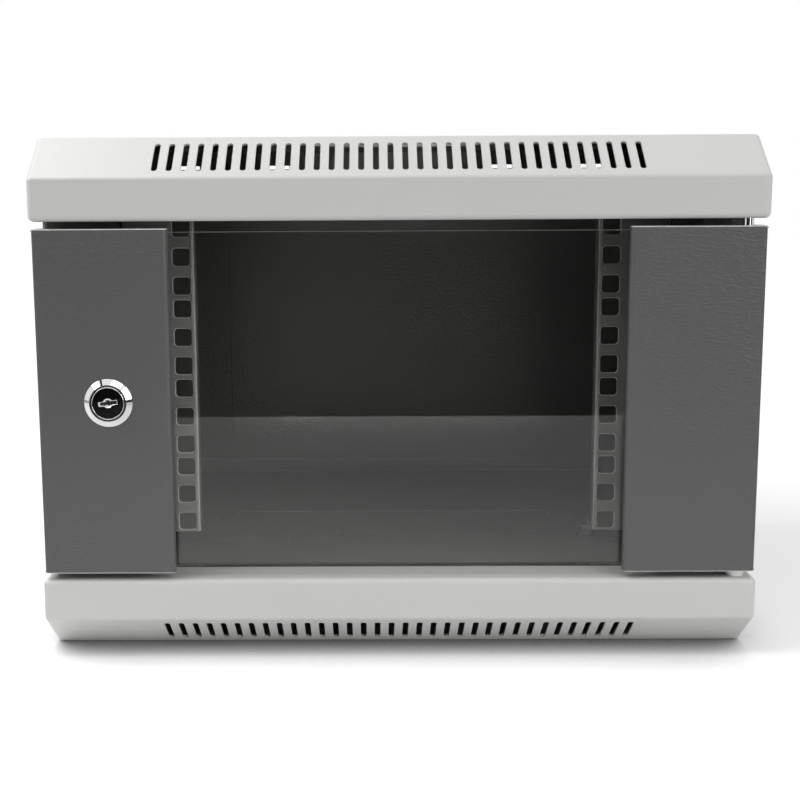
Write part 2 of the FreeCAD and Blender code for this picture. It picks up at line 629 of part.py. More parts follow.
def hinge_pin_clip():
    """Ring on the pin that takes the spring and stops against the strip's end."""
    top = DOOR_HIGH - SHEET - PIN_CLEARANCE
    ring = rod(HINGE_X, HINGE_Y, top - CLIP_THICKNESS, CLIP, CLIP_THICKNESS)
    return ring.cut(rod(HINGE_X, HINGE_Y, top - 2 * CLIP_THICKNESS, PIN, 3 * CLIP_THICKNESS))


def hinge_spring():
    """Compression spring between the guide and the ring on the pin, its wire square in section."""
    low = guide_height() + SPRING_WIRE / 2 + PIN_CLEARANCE
    high = DOOR_HIGH - SHEET - CLIP_THICKNESS - SPRING_WIRE / 2 - 2 * PIN_CLEARANCE
    radius = PIN / 2 + SPRING_WIRE / 2 + FIT
    path = Part.makeHelix((high - low) / SPRING_TURNS, high - low, radius)
    path.translate(V(HINGE_X, HINGE_Y, low))
    corners = [V(HINGE_X + radius + SPRING_WIRE / 2 * math.cos(k * math.pi / 2), HINGE_Y,
                 low + SPRING_WIRE / 2 * math.sin(k * math.pi / 2)) for k in range(5)]
    return Part.Wire(path).makePipeShell([Part.makePolygon(corners)], True, True)


def hinge_bush():
    """Flanged bush in the lower cover that carries the door's weight."""
    flange = rod(HINGE_X, HINGE_Y, LOWER_RIM, BUSH, DOOR_GAP - PIN_CLEARANCE)
    sleeve = rod(HINGE_X, HINGE_Y, LOWER_RIM - SHEET, BUSH_SLEEVE, SHEET)
    bore = rod(HINGE_X, HINGE_Y, LOWER_RIM - 2 * SHEET, PIN + 2 * PIN_CLEARANCE, DOOR_GAP + 2 * SHEET)
    return flange.fuse(sleeve).cut(bore)


def hinge_pin_bottom():
    """Fixed lower pin, pressed into the end of the right strip."""
    low = LOWER_RIM - SHEET - PIN_ENGAGEMENT
    pin = rod(HINGE_X, HINGE_Y, low, PIN, DOOR_LOW + SHEET - low)
    head = rod(HINGE_X, HINGE_Y, DOOR_LOW + SHEET, CLIP, CLIP_THICKNESS)
    return pin.fuse(head)


def case_screws():
    """Four screws through support, tab, rim and floor plate."""
    head_seat = SUPPORT_BASE + RAIL_SHEET
    grip = head_seat - (FLOOR_TOP - SHEET)
    return [machine_screw(x, y, head_seat, CASE_SCREW, grip + CASE_SCREW, -Z_AXIS)
            for x, y in case_screw_places()]


def case_nuts():
    return [ring_nut(x, y, FLOOR_TOP - SHEET, CASE_SCREW, -Z_AXIS) for x, y in case_screw_places()]


def rail_screw_places():
    y, low = rail_screw_place()
    return [(side, y, z) for side in (-1, 1) for z in (low, 2 * MID_HEIGHT - low)]


def rail_screws():
    grip = 2 * RAIL_SHEET + FIT
    return [machine_screw(side * (RAIL_OUTER_EDGE - RAIL_SHEET), y, z, RAIL_SCREW, grip + RAIL_SCREW, X_AXIS * side)
            for side, y, z in rail_screw_places()]


def rail_nuts():
    seat = RAIL_OUTER_EDGE + FIT + RAIL_SHEET
    return [ring_nut(side * seat, y, z, RAIL_SCREW, X_AXIS * side) for side, y, z in rail_screw_places()]


def ground_stud():
    return rod(STUD_X, FRONT + STUD_BACK, FLOOR_TOP - SHEET, STUD, SHEET + STUD_LENGTH)


def ground_washer():
    y = FRONT + STUD_BACK
    washer = rod(STUD_X, y, FLOOR_TOP, 2 * STUD, SHEET)
    return washer.cut(rod(STUD_X, y, FLOOR_TOP, STUD, SHEET))


def ground_nut():
    return ring_nut(STUD_X, FRONT + STUD_BACK, FLOOR_TOP + SHEET, STUD, Z_AXIS)


def door_bumpers():
    """Two soft buttons on the left front flange that the closed door rests against."""
    x = -(DOOR_HALF - STRIP_LIP / 2)
    start = DOOR_BACK + FIT
    return [rod(x, start, z, BUMPER, BODY_FRONT - start, Y_AXIS)
            for z in (DOOR_LOW + BUMPER_INSET, DOOR_HIGH - BUMPER_INSET)]


os.makedirs("parts", exist_ok=True)
right_support = rail_support()
right_panel = side_panel()
right_rail = rail()
right_tape = glazing_tape()
pieces = {
    "bottom_cover": cover(BUSH_SLEEVE),
    "top_cover": upper(cover(PIN + 2 * PIN_CLEARANCE)),
    "floor_plate": floor_plate(),
    "roof_plate": roof_plate(),
    "side_panel_right": right_panel,
    "side_panel_left": left(right_panel),
    "back_plate": back_plate(),
    "rail_support_lower_right": right_support,
    "rail_support_lower_left": left(right_support),
    "rail_support_upper_right": upper(right_support),
    "rail_support_upper_left": left(upper(right_support)),
    "rack_rail_right": right_rail,
    "rack_rail_left": left(right_rail),
    "rail_screws": group(rail_screws()),
    "rail_nuts": group(rail_nuts()),
    "case_screws_lower": group(case_screws()),
    "case_nuts_lower": group(case_nuts()),
    "case_screws_upper": group([upper(s) for s in case_screws()]),
    "case_nuts_upper": group([upper(s) for s in case_nuts()]),
    "ground_stud": ground_stud(),
    "ground_washer": ground_washer(),
    "ground_nut": ground_nut(),
    "door_bumpers": group(door_bumpers()),
    "hinge_bush": hinge_bush(),
    "door_strip_left": lock_strip(),
    "door_strip_right": hinge_strip(),
    "glass_pane": glass_pane(),
    "glazing_tape_right": right_tape,
    "glazing_tape_left": left(right_tape),
    "lock_housing": lock_housing(),
    "lock_nut": lock_nut(),
    "lock_plug": lock_plug(),
    "lock_cam": lock_cam(),
    "cam_screw": cam_screw(),
    "hinge_guide": hinge_guide(),
    "hinge_pin_bottom": hinge_pin_bottom(),
    "hinge_pin_top": hinge_pin_top(),
    "hinge_pin_clip": hinge_pin_clip(),
    "hinge_spring": hinge_spring(),
}
for name, shape in pieces.items():
    shape.exportStep(f"parts/{name}.step")
    print(f"{name}: {len(shape.Solids)} solid(s), {shape.Volume / 1000:.2f} cm3")
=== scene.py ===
# Ten-inch wall-mount network cabinet with a hinged glass door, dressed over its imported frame.
import bmesh
import bpy
import json
from math import cos, pi, radians, sin
from mathutils import Matrix, Vector


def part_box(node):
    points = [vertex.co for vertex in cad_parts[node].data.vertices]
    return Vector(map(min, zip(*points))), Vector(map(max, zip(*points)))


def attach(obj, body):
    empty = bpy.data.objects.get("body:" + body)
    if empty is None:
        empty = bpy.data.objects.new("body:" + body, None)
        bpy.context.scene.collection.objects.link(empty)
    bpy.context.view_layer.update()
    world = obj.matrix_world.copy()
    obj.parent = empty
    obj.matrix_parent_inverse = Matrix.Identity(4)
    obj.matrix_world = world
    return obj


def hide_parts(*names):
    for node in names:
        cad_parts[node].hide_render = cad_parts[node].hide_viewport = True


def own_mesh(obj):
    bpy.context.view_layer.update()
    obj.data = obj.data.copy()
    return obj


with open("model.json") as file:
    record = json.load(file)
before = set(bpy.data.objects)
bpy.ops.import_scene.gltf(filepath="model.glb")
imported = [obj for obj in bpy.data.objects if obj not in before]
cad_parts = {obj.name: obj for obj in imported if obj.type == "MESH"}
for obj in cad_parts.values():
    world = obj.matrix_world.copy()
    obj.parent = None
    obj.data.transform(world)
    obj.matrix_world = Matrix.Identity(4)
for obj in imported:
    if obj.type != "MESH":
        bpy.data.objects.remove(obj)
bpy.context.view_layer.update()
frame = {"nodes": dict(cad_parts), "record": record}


# Covers. Two pressed pans of 1.2 mm sheet steel, one turned over on top of the other, in a light grey
# powder coat with a very fine orange peel. Screws behind the rims hold them to the body.
class Signal:
    """A socket in a material's node tree; a sum written with it adds the Math nodes."""

    def __init__(self, tree, socket):
        self.tree = tree
        self.socket = socket

    def node(self, kind, settings, sockets, output=0):
        """Add a node of any other type: its settings first, then the values or links of its sockets."""
        made = self.tree.nodes.new(kind)
        for name, value in settings.items():
            if name == "stops":
                ramp = made.color_ramp.elements
                for stop in value[1:-1]:
                    ramp.new(stop[0])
                for element, (position, level) in zip(ramp, value):
                    element.position = position
                    element.color = (level, level, level, 1.0)
            else:
                setattr(made, name, value)
        for name, value in sockets.items():
            if isinstance(value, Signal):
                self.tree.links.new(value.socket, made.inputs[name])
            else:
                made.inputs[name].default_value = value
        return Signal(self.tree, made.outputs[output])

    def math(self, operation, first, second):
        """Add a Math node."""
        return self.node("ShaderNodeMath", {"operation": operation}, {0: first, 1: second})

    def __add__(self, other):
        return self.math("ADD", self, other)

    def __radd__(self, other):
        return self.math("ADD", other, self)

    def __sub__(self, other):
        return self.math("SUBTRACT", self, other)

    def __rsub__(self, other):
        return self.math("SUBTRACT", other, self)

    def __mul__(self, other):
        return self.math("MULTIPLY", self, other)

    def __rmul__(self, other):
        return self.math("MULTIPLY", other, self)

    def tint(self, dark, light):
        """Colour between two paints, by this signal."""
        colours = {6: (*dark, 1), 7: (*light, 1)}
        return self.node("ShaderNodeMix", {"data_type": "RGBA"}, {0: self, **colours}, 2)

    def relief(self, depth, strength):
        """Normal of a surface that this signal raises by up to depth metres."""
        return self.node("ShaderNodeBump", {}, {"Height": self, "Distance": depth, "Strength": strength})


def finish(name, **constants):
    """New material: its Principled shader with the given constants, and Object coordinates to paint by."""
    made = bpy.data.materials.new(name)
    made.use_nodes = True
    tree = made.node_tree
    shader = tree.nodes["Principled BSDF"]
    for socket, value in constants.items():
        shader.inputs[socket.replace("_", " ")].default_value = value
    place = Signal(tree, tree.nodes.new("ShaderNodeTexCoord").outputs["Object"])
    return made, shader, place


def paint(shader, **signals):
    """Feed signals to the shader's sockets."""
    for socket, signal in signals.items():
        signal.tree.links.new(signal.socket, shader.inputs[socket.replace("_", " ")])


def grain(place, scale, detail=2.0, stretch=(1.0, 1.0, 1.0)):
    """Cloudy noise of the given number of features a metre."""
    spread = place.node("ShaderNodeMapping", {}, {"Vector": place, "Scale": stretch})
    return place.node("ShaderNodeTexNoise", {}, {"Vector": spread, "Scale": scale, "Detail": detail})


def put(name, data):
    """New object in the scene that shows a mesh, lamp or camera."""
    made = bpy.data.objects.new(name, data)
    bpy.context.scene.collection.objects.link(made)
    return made


def rounded(piece, width, angle):
    """Round the edges of a piece at which its faces turn by more than angle degrees."""
    bevel = piece.modifiers.new("rounded edges", "BEVEL")
    bevel.width = width
    bevel.segments = 2
    bevel.limit_method = "ANGLE"
    bevel.angle_limit = radians(angle)
    bevel.harden_normals = True
    return bevel


same_place = 0.00001        # metres within which two places are one
flat_angle = 0.5            # degrees by which the triangles of one flat face may differ
fold_angle = 35             # degrees from which an edge is rounded
slant = 0.5                 # a face whose second largest normal part passes this lies on a bend


def dress(node, body, material, edge=0.0, highlight=None, highlight_bends=True):
    """Piece in a node's own form, its edges rounded by edge.

    A paler finish for a painted highlight, where one is given, goes on the rounds, and with
    highlight_bends on bends as well.
    """
    mesh = frame["nodes"][node].data.copy()
    form = bmesh.new()
    form.from_mesh(mesh)
    bmesh.ops.remove_doubles(form, verts=form.verts, dist=same_place)
    bmesh.ops.dissolve_limit(form, angle_limit=radians(flat_angle), verts=form.verts, edges=form.edges)
    for face in form.faces:
        face.smooth = True
    form.to_mesh(mesh)
    form.free()
    mesh.materials.clear()
    mesh.materials.append(material)
    piece = put(node + "_dressed", mesh)
    # Painted highlight: the paler finish goes on the bends here and on the rounded edges below.
    if highlight:
        mesh.materials.append(highlight)
        for face in mesh.polygons:
            if highlight_bends and sorted(abs(part) for part in face.normal)[1] > slant:
                face.material_index = 1
    if edge:
        bevel = rounded(piece, edge, fold_angle)
        bevel.material = 1 if highlight else -1
        bevel.use_clamp_overlap = not highlight
    weighted = piece.modifiers.new("flat faces stay flat", "WEIGHTED_NORMAL")
    weighted.keep_sharp = True
    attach(piece, body)
    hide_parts(node)
    return piece


cover_edge = 0.0003
cover_coat, shader, place = finish("cover_coat")
cloud = grain(place, 7.0)
peel = grain(place, 750.0, 3.0)
paint(shader, Base_Color=cloud.tint((0.575, 0.578, 0.562), (0.605, 0.608, 0.592)),
      Roughness=0.32 + 0.08 * peel, Normal=peel.relief(0.00012, 0.35))
for node in ("bottom_cover", "top_cover"):
    dress(node, "cabinet", cover_coat, cover_edge)


# Body. Folded side panels, back plate, floor and roof plates and slotted rail supports, all 1.2 to
# 1.5 mm sheet in a dark grey powder coat with a hammered, leather-like skin. The floor is smoother,
# and its edges and the bend of its rear lip carry a paler coat as a painted highlight.
def body_coat(name, depth, gloss):
    """Dark grey coat whose skin swells by up to depth, with a roughness from gloss upwards."""
    coat, shader, place = finish(name)
    swell = grain(place, 560.0, 1.0, (0.75, 1.0, 1.7))
    skin = swell + 0.12 * grain(place, 1300.0)
    paint(shader, Base_Color=grain(place, 9.0).tint((0.095, 0.095, 0.090), (0.110, 0.110, 0.104)),
          Roughness=gloss + 0.06 * swell, Normal=skin.relief(depth, 1.0))
    return coat


def edge_highlight_coat(name, scale, dark, light, gloss):
    """Paler coat for painted highlights on edges and bends, mottled between two greys, with a roughness
    from gloss upwards.
    """
    coat, shader, place = finish(name)
    rub = grain(place, scale, 3.0)
    paint(shader, Base_Color=rub.tint(dark, light), Roughness=gloss + 0.15 * rub)
    return coat


panel_edge = 0.0003
floor_edge = 0.0002
hammered_coat = body_coat("hammered_coat", 0.00030, 0.08)
floor_coat = body_coat("floor_coat", 0.00001, 0.20)
# Painted highlight: a paler coat on the floor's rounded edges and the bend of its rear lip.
floor_highlight_coat = edge_highlight_coat("painted_highlight_floor_edges", 160.0, (0.14, 0.14, 0.135), (0.26, 0.26, 0.25), 0.20)
for node in ("side_panel_right", "side_panel_left", "back_plate", "roof_plate",
             "rail_support_lower_right", "rail_support_lower_left",
             "rail_support_upper_right", "rail_support_upper_left"):
    dress(node, "cabinet", hammered_coat, panel_edge)
dress("floor_plate", "cabinet", floor_coat, floor_edge, floor_highlight_coat)


# Rack rails. U sections of 1.5 mm steel punched with three square cage-nut holes a rack unit, in a
# graphite grey coat, with a paler coat on the hole edges and bends as a painted highlight.
rail_edge = 0.00045
rail_coat, shader, place = finish("rail_coat", Metallic=0.25)
peel = grain(place, 900.0, 3.0)
paint(shader, Base_Color=grain(place, 12.0).tint((0.205, 0.205, 0.200), (0.240, 0.240, 0.234)),
      Roughness=0.20 + 0.10 * peel, Normal=peel.relief(0.00012, 0.4))
# Painted highlight: a paler coat on the rails' rounded hole edges and bends.
rail_highlight_coat = edge_highlight_coat("rail_edge", 260.0, (0.26, 0.26, 0.25), (0.52, 0.52, 0.51), 0.25)
for node in ("rack_rail_right", "rack_rail_left"):
    dress(node, "cabinet", rail_coat, rail_edge, rail_highlight_coat)


# Door strips. Folded from 1.2 mm sheet with closed ends and a stepped inner edge for the glass, in a
# graphite grey coat with a fine leather texture, with a pale coat on the rounded edges as a painted
# highlight. The hinge guide inside the right one is the same.
strip_edge = 0.00048
door_coat, shader, place = finish("door_coat")
leather = grain(place, 560.0, 2.0, (0.5, 1.0, 1.5))
dimples = leather.node("ShaderNodeMapRange", {"interpolation_type": "SMOOTHSTEP"},
                       {"Value": leather, "From Min": 0.48, "From Max": 0.66})
paint(shader, Base_Color=grain(place, 8.0).tint((0.090, 0.090, 0.089), (0.104, 0.104, 0.103)),
      Roughness=0.27 + 0.10 * leather, Normal=dimples.relief(0.00012, 0.8))
# Painted highlight: a pale coat on the strips' rounded edges.
strip_highlight_coat = edge_highlight_coat("painted_highlight_strip_edges", 260.0, (0.40, 0.40, 0.39), (0.80, 0.80, 0.79), 0.25)
for node in ("door_strip_right", "door_strip_left", "hinge_guide"):
    dress(node, "door", door_coat, strip_edge, strip_highlight_coat, highlight_bends=False)


# Door glass. One 4 mm pane of clear toughened float glass, ground frosty along its upper edge and
# bonded behind the stepped edges of the strips by black foam tape.
def rays(place, *kinds):
    """Mask that is 1 for rays of any of the named kinds."""
    mask, *others = [place.node("ShaderNodeLightPath", {}, {}, kind) for kind in kinds]
    for other in others:
        mask = mask.math("MAXIMUM", mask, other)
    return mask


def cover(material, layer):
    """Make a layer the whole surface of a material."""
    output = material.node_tree.nodes["Material Output"]
    material.node_tree.links.new(layer.socket, output.inputs["Surface"])


def let_through(material, shader, mask, colour):
    """Let the masked rays straight through a material, tinted by colour."""
    solid = Signal(mask.tree, shader.outputs["BSDF"])
    opening = mask.node("ShaderNodeBsdfTransparent", {}, {"Color": colour})
    cover(material, mask.node("ShaderNodeMixShader", {}, {0: mask, 1: solid, 2: opening}))


glass_edge = 0.0003
glass, shader, place = finish("float_glass", Base_Color=(0.965, 0.975, 0.955, 1), Roughness=0.0,
                              Transmission_Weight=1.0, IOR=1.5)
let_through(glass, shader, rays(place, "Is Shadow Ray"), (0.92, 0.93, 0.91, 1))
ground_edge, shader, place = finish("ground_glass_edge", Transmission_Weight=0.3, IOR=1.5)
frost = grain(place, 500.0)
paint(shader, Base_Color=frost.tint((0.42, 0.46, 0.43), (0.58, 0.62, 0.59)), Roughness=0.35 + 0.2 * frost)
pane = dress("glass_pane", "door", glass, glass_edge)
pane.data.materials.append(ground_edge)
for face in pane.data.polygons:
    if face.normal.z > 0.5:
        face.material_index = 1
foam, shader, place = finish("foam_tape")
cells = grain(place, 1400.0, 2.0)
paint(shader, Base_Color=cells.tint((0.012, 0.012, 0.012), (0.02, 0.02, 0.02)),
      Roughness=0.8 + 0.15 * cells, Normal=cells.relief(0.0001, 0.5))
for node in ("glazing_tape_right", "glazing_tape_left"):
    dress(node, "door", foam)


# Lock. A die-cast, chrome-plated cam lock: a bezel turned as a flat cone round a groove and a fine
# collar, a threaded barrel with two flats, and a black-faced plug whose keyway is bare chrome. Its
# hexagon nut clamps it behind the strip, and a screw holds the cam on the plug's tail.
def turned(form, outline, steps=48):
    """Spin a closed outline of (radius, height) pairs about Z, in metres."""
    rim = [form.verts.new((radius, 0, height)) for radius, height in outline]
    edges = [form.edges.new(pair) for pair in zip(rim, rim[1:] + rim[:1])]
    bmesh.ops.spin(form, geom=rim + edges, cent=(0, 0, 0), axis=(0, 0, 1), dvec=(0, 0, 0),
                   angle=2 * pi, steps=steps, use_merge=True)
    bmesh.ops.remove_doubles(form, verts=form.verts, dist=0.000001)
    bmesh.ops.recalc_face_normals(form, faces=form.faces)


def trimmed(form, *cuts):
    """Cut away what lies beyond each plane, given by a point and a direction, and close the cuts."""
    for point, beyond in cuts:
        geometry = form.verts[:] + form.edges[:] + form.faces[:]
        bmesh.ops.bisect_plane(form, geom=geometry, plane_co=point, plane_no=beyond, clear_outer=True)
    bmesh.ops.holes_fill(form, edges=[edge for edge in form.edges if edge.is_boundary])
    bmesh.ops.recalc_face_normals(form, faces=form.faces)


def threaded(form, radius, pitch, length, steps=24):
    """Cut a screw thread along Z from 0 to length, in a form that is empty so far."""
    depth = 0.55 * pitch
    tooth = [form.verts.new((radius - depth * cut, 0, pitch * (share - 1)))
             for share, cut in ((0, 0), (0.45, 1), (0.55, 1), (1, 0))]
    edges = [form.edges.new(pair) for pair in zip(tooth, tooth[1:])]
    turns = int(length / pitch) + 2
    bmesh.ops.spin(form, geom=tooth + edges, cent=(0, 0, 0), axis=(0, 0, 1),
                   dvec=(0, 0, pitch / steps), angle=2 * pi * turns, steps=steps * turns)
    bmesh.ops.remove_doubles(form, verts=form.verts, dist=pitch / 100)
    trimmed(form, ((0, 0, 0), (0, 0, -1)), ((0, 0, length), (0, 0, 1)))


def mesh_of(form, name):
    """Finish a form as a new mesh."""
    mesh = bpy.data.meshes.new(name)
    form.to_mesh(mesh)
    form.free()
    return mesh


def shaped(name, form, material, body, node, edge=0.0, sharp=30):
    """Finish a new form as a piece that rides on body and stands for a node."""
    for face in form.faces:
        face.smooth = True
    mesh = mesh_of(form, name)
    mesh.set_sharp_from_angle(angle=radians(sharp))
    mesh.materials.append(material)
    piece = put(name, mesh)
    if edge:
        rounded(piece, edge, sharp)
    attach(piece, body)
    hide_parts(node)
    return piece


chrome, shader, place = finish("chrome_plate", Metallic=1.0)
ripple = grain(place, 300.0)
paint(shader, Base_Color=ripple.tint((0.70, 0.70, 0.71), (0.77, 0.77, 0.78)),
      Roughness=0.03 + 0.04 * ripple)
# Painted shade: a dark chrome in the bezel's groove and inside its collar stands in for the shade there.
shaded_groove_chrome, shader, place = finish("shaded_groove_chrome", Metallic=1.0)
groove_shade_mottle = grain(place, 500.0)
paint(shader, Base_Color=groove_shade_mottle.tint((0.05, 0.05, 0.05), (0.12, 0.12, 0.12)), Roughness=0.25 + 0.1 * groove_shade_mottle)

low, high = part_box("lock_housing")
lock_centre = Vector(((low[0] + high[0]) / 2, 0, (low[2] + high[2]) / 2))
proud = 0.0022                          # height of the bezel over the strip's face
seat = low[1] + proud
tail_radius, tail_length = 0.0084, 0.001
bezel_radius, bezel_rim = 0.01235, 0.0004
cone_radius = 0.0095                    # where the cone ends and the flat crown begins
groove_outside, groove_inside, groove_floor = 0.00915, 0.00855, 0.0013
collar_outside, collar_shoulder = 0.00852, 0.0018
collar_top, bore = 0.0021, 0.00796
bezel_edge, bezel_sharp = 0.00008, 20
bezel = bmesh.new()
turned(bezel, [(bore, -tail_length), (tail_radius, -tail_length), (tail_radius, 0), (bezel_radius, 0),
               (bezel_radius, bezel_rim), (cone_radius, proud), (groove_outside, proud),
               (groove_inside, groove_floor), (collar_outside, collar_shoulder), (0.00835, collar_top),
               (0.00815, proud), (bore, collar_top)], 96)
seated = Matrix.Translation(lock_centre + Vector((0, seat, 0)))
bmesh.ops.transform(bezel, verts=bezel.verts, matrix=seated @ Matrix.Rotation(pi / 2, 4, "X"))
ring = shaped("lock_bezel", bezel, chrome, "door", "lock_housing", bezel_edge, bezel_sharp)
# Painted shade: groove and bore faces take the dark chrome.
ring.data.materials.append(shaded_groove_chrome)
for face in ring.data.polygons:
    from_axis = (face.center - lock_centre).xz.length
    in_groove = groove_inside + same_place < from_axis < groove_outside - same_place
    inside = from_axis < groove_inside + 5 * same_place
    if in_groove or (inside and seat - collar_shoulder < face.center.y < seat):
        face.material_index = 1

barrel_radius, barrel_pitch = 0.009, 0.001
half_across_flats = 0.008
barrel = bmesh.new()
threaded(barrel, barrel_radius, barrel_pitch, high[1] - seat, 48)
trimmed(barrel, ((-half_across_flats, 0, 0), (-1, 0, 0)), ((half_across_flats, 0, 0), (1, 0, 0)))
bmesh.ops.transform(barrel, verts=barrel.verts, matrix=seated @ Matrix.Rotation(-pi / 2, 4, "X"))
shaped("lock_barrel", barrel, chrome, "door", "lock_housing")

plug_face, shader, place = finish("plug_face", Specular_IOR_Level=0.12)
haze = grain(place, 400.0)
paint(shader, Base_Color=haze.tint((0.003, 0.003, 0.003), (0.005, 0.005, 0.005)),
      Roughness=0.10 + 0.06 * haze)
plug = dress("lock_plug", "lock_core", plug_face)
plug.data.materials.append(chrome)
plug_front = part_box("lock_plug")[0][1]
for face in plug.data.polygons:
    faces_front = face.normal.y < -0.99 and face.center.y < plug_front + 5 * same_place
    if not faces_front:
        face.material_index = 1


# Hinge. A sprung chromed pin with a bent handle in the door's upper end, a plain one below, and a
# flanged nylon bush in the lower cover.
bush_edge = 0.0003
for node, body in (("hinge_pin_top", "hinge_bolt"), ("hinge_pin_bottom", "door")):
    dress(node, body, chrome)
nylon, shader, place = finish("nylon")
milk = grain(place, 200.0)
paint(shader, Base_Color=milk.tint((0.80, 0.80, 0.79), (0.88, 0.88, 0.87)), Roughness=0.45 + 0.1 * milk)
dress("hinge_bush", "cabinet", nylon, bush_edge)


# Fasteners. Zinc-plated pan-head screws with a cross recess and their hexagon nuts, the earth stud
# with its washer and nut in darker steel, the lock's nut, cam and cam screw, and the bolt's ring and
# spring.
def solids_of(node):
    """Box of every separate solid in a node: its centre and its size, in metres."""
    form = bmesh.new()
    form.from_mesh(frame["nodes"][node].data)
    bmesh.ops.remove_doubles(form, verts=form.verts, dist=same_place)
    left = set(form.verts)
    boxes = []
    for first in form.verts:
        if first not in left:
            continue
        left.remove(first)
        solid = [first]
        for vert in solid:
            near = [edge.other_vert(vert) for edge in vert.link_edges]
            solid.extend(other for other in near if other in left)
            left.difference_update(near)
        low = Vector(min(vert.co[axis] for vert in solid) for axis in range(3))
        high = Vector(max(vert.co[axis] for vert in solid) for axis in range(3))
        boxes.append(((low + high) / 2, high - low))
    form.free()
    return boxes


def placed(form, one, matrix):
    """Add a copy of the mesh one to form, moved by matrix."""
    first = len(form.verts)
    form.from_mesh(one)
    form.verts.ensure_lookup_table()
    bmesh.ops.transform(form, matrix=matrix, verts=form.verts[first:])


def verts_in(geometry):
    """The corners among what an operator returns."""
    return [item for item in geometry if isinstance(item, bmesh.types.BMVert)]


head_width, head_height = 1.9, 0.6      # of a pan head, in thread diameters
nut_width, nut_height = 1.75, 0.8       # of a nut across its flats, in thread diameters


def screw_mesh(diameter, length):
    """Screw with its head's bearing face at z = 0 and its shank up to z = length."""
    head = bmesh.new()
    top = -head_height * diameter
    half_head = head_width * diameter / 2
    turned(head, [(0, top), (0.5 * diameter, top), (0.72 * diameter, 0.92 * top),
                  (0.88 * diameter, 0.7 * top), (half_head, 0.4 * top), (half_head, 0), (0, 0)], 32)
    arm, half_slot = 0.42 * diameter, 0.085 * diameter
    near_top = 0.999 * top
    for across in (-arm, -half_slot, half_slot, arm):
        for normal in ((1, 0, 0), (0, 1, 0)):
            disc = [face for face in head.faces if all(vert.co.z < near_top for vert in face.verts)]
            around = dict.fromkeys(item for face in disc for item in (*face.edges, *face.verts))
            bmesh.ops.bisect_plane(head, geom=disc + list(around),
                                   plane_co=Vector(normal) * across, plane_no=normal)
    cross = []
    for face in head.faces:
        middle = face.calc_center_median()
        nearer, farther = sorted((abs(middle.x), abs(middle.y)))
        if middle.z < near_top and nearer < half_slot and farther < arm:
            cross.append(face)
    sunk = bmesh.ops.extrude_face_region(head, geom=cross)["geom"]
    bmesh.ops.delete(head, geom=cross, context="FACES_ONLY")
    narrowed = Matrix.Diagonal((0.6, 0.6, 1, 1))
    bmesh.ops.transform(head, verts=verts_in(sunk),
                        matrix=Matrix.Translation((0, 0, 0.38 * diameter)) @ narrowed)
    shank = bmesh.new()
    threaded(shank, diameter / 2, 0.17 * diameter, length)
    placed(head, mesh_of(shank, "shank"), Matrix())
    return mesh_of(head, "screw")


def nut_mesh(diameter, height):
    """Hexagon nut on z = 0 with a bore and chamfered rims, two of its corners on the X axis."""
    form = bmesh.new()
    corner = nut_width * diameter / 2 / cos(pi / 6)
    bmesh.ops.create_circle(form, segments=6, radius=corner)
    bmesh.ops.subdivide_edges(form, edges=form.edges, cuts=3, use_grid_fill=False)
    bmesh.ops.create_circle(form, segments=24, radius=diameter / 2)
    bmesh.ops.bridge_loops(form, edges=form.edges)
    above = bmesh.ops.extrude_face_region(form, geom=form.faces[:])["geom"]
    bmesh.ops.translate(form, vec=(0, 0, height), verts=verts_in(above))
    bmesh.ops.recalc_face_normals(form, faces=form.faces)
    rims = []
    for edge in form.edges:
        level = abs(edge.verts[0].co.z - edge.verts[1].co.z) < height / 100
        outside = min(vert.co.xy.length for vert in edge.verts) > 0.8 * diameter
        if level and outside and edge.calc_face_angle(0) > 1:
            rims.append(edge)
    bmesh.ops.bevel(form, geom=rims, offset=0.09 * diameter, offset_type="OFFSET", affect="EDGES",
                    segments=2, profile=0.5, material=-1)
    return mesh_of(form, "nut")


zinc, shader, place = finish("zinc_plate", Metallic=1.0)
rub = grain(place, 900.0, 3.0)
paint(shader, Base_Color=grain(place, 120.0).tint((0.40, 0.40, 0.38), (0.58, 0.58, 0.56)),
      Roughness=0.26 + 0.2 * rub, Normal=rub.relief(0.00008, 0.3))
steel, shader, place = finish("dark_steel", Metallic=1.0)
rub = grain(place, 700.0, 3.0)
paint(shader, Base_Color=grain(place, 150.0).tint((0.16, 0.16, 0.16), (0.34, 0.34, 0.33)),
      Roughness=0.18 + 0.2 * rub, Normal=rub.relief(0.00008, 0.3))

outwards, backwards, upwards = Vector((1, 0, 0)), Vector((0, 1, 0)), Vector((0, 0, 1))
for node, body, way in (("rail_screws", "cabinet", outwards), ("case_screws_lower", "cabinet", -upwards),
                        ("case_screws_upper", "cabinet", upwards), ("cam_screw", "lock_core", -backwards)):
    group = bmesh.new()
    one = None
    for middle, size in solids_of(node):
        toward = -way if way == outwards and middle.x < 0 else way
        full = abs(size.dot(way))
        diameter = (sum(size) - full) / 2 / head_width
        head = head_height * diameter
        one = one or screw_mesh(diameter, full - head)
        turn = toward.to_track_quat("Z", "Y").to_matrix().to_4x4()
        placed(group, one, Matrix.Translation(middle + toward * (head - full / 2)) @ turn)
    shaped(node + "_recessed", group, zinc, body, node)
for node, metal, way in (("rail_nuts", zinc, outwards), ("case_nuts_lower", zinc, upwards),
                         ("case_nuts_upper", zinc, upwards), ("ground_nut", steel, upwards)):
    group = bmesh.new()
    one = None
    for middle, size in solids_of(node):
        height = abs(size.dot(way))
        one = one or nut_mesh(height / nut_height, height)
        turn = way.to_track_quat("Z", "Y").to_matrix().to_4x4()
        across = turn.to_3x3() @ Vector((1, 0, 0))
        if abs(size.dot(across)) < (sum(size) - height) / 2:
            turn = turn @ Matrix.Rotation(pi / 6, 4, "Z")
        placed(group, one, Matrix.Translation(middle - way * height / 2) @ turn)
    shaped(node + "_chamfered", group, metal, "cabinet", node)

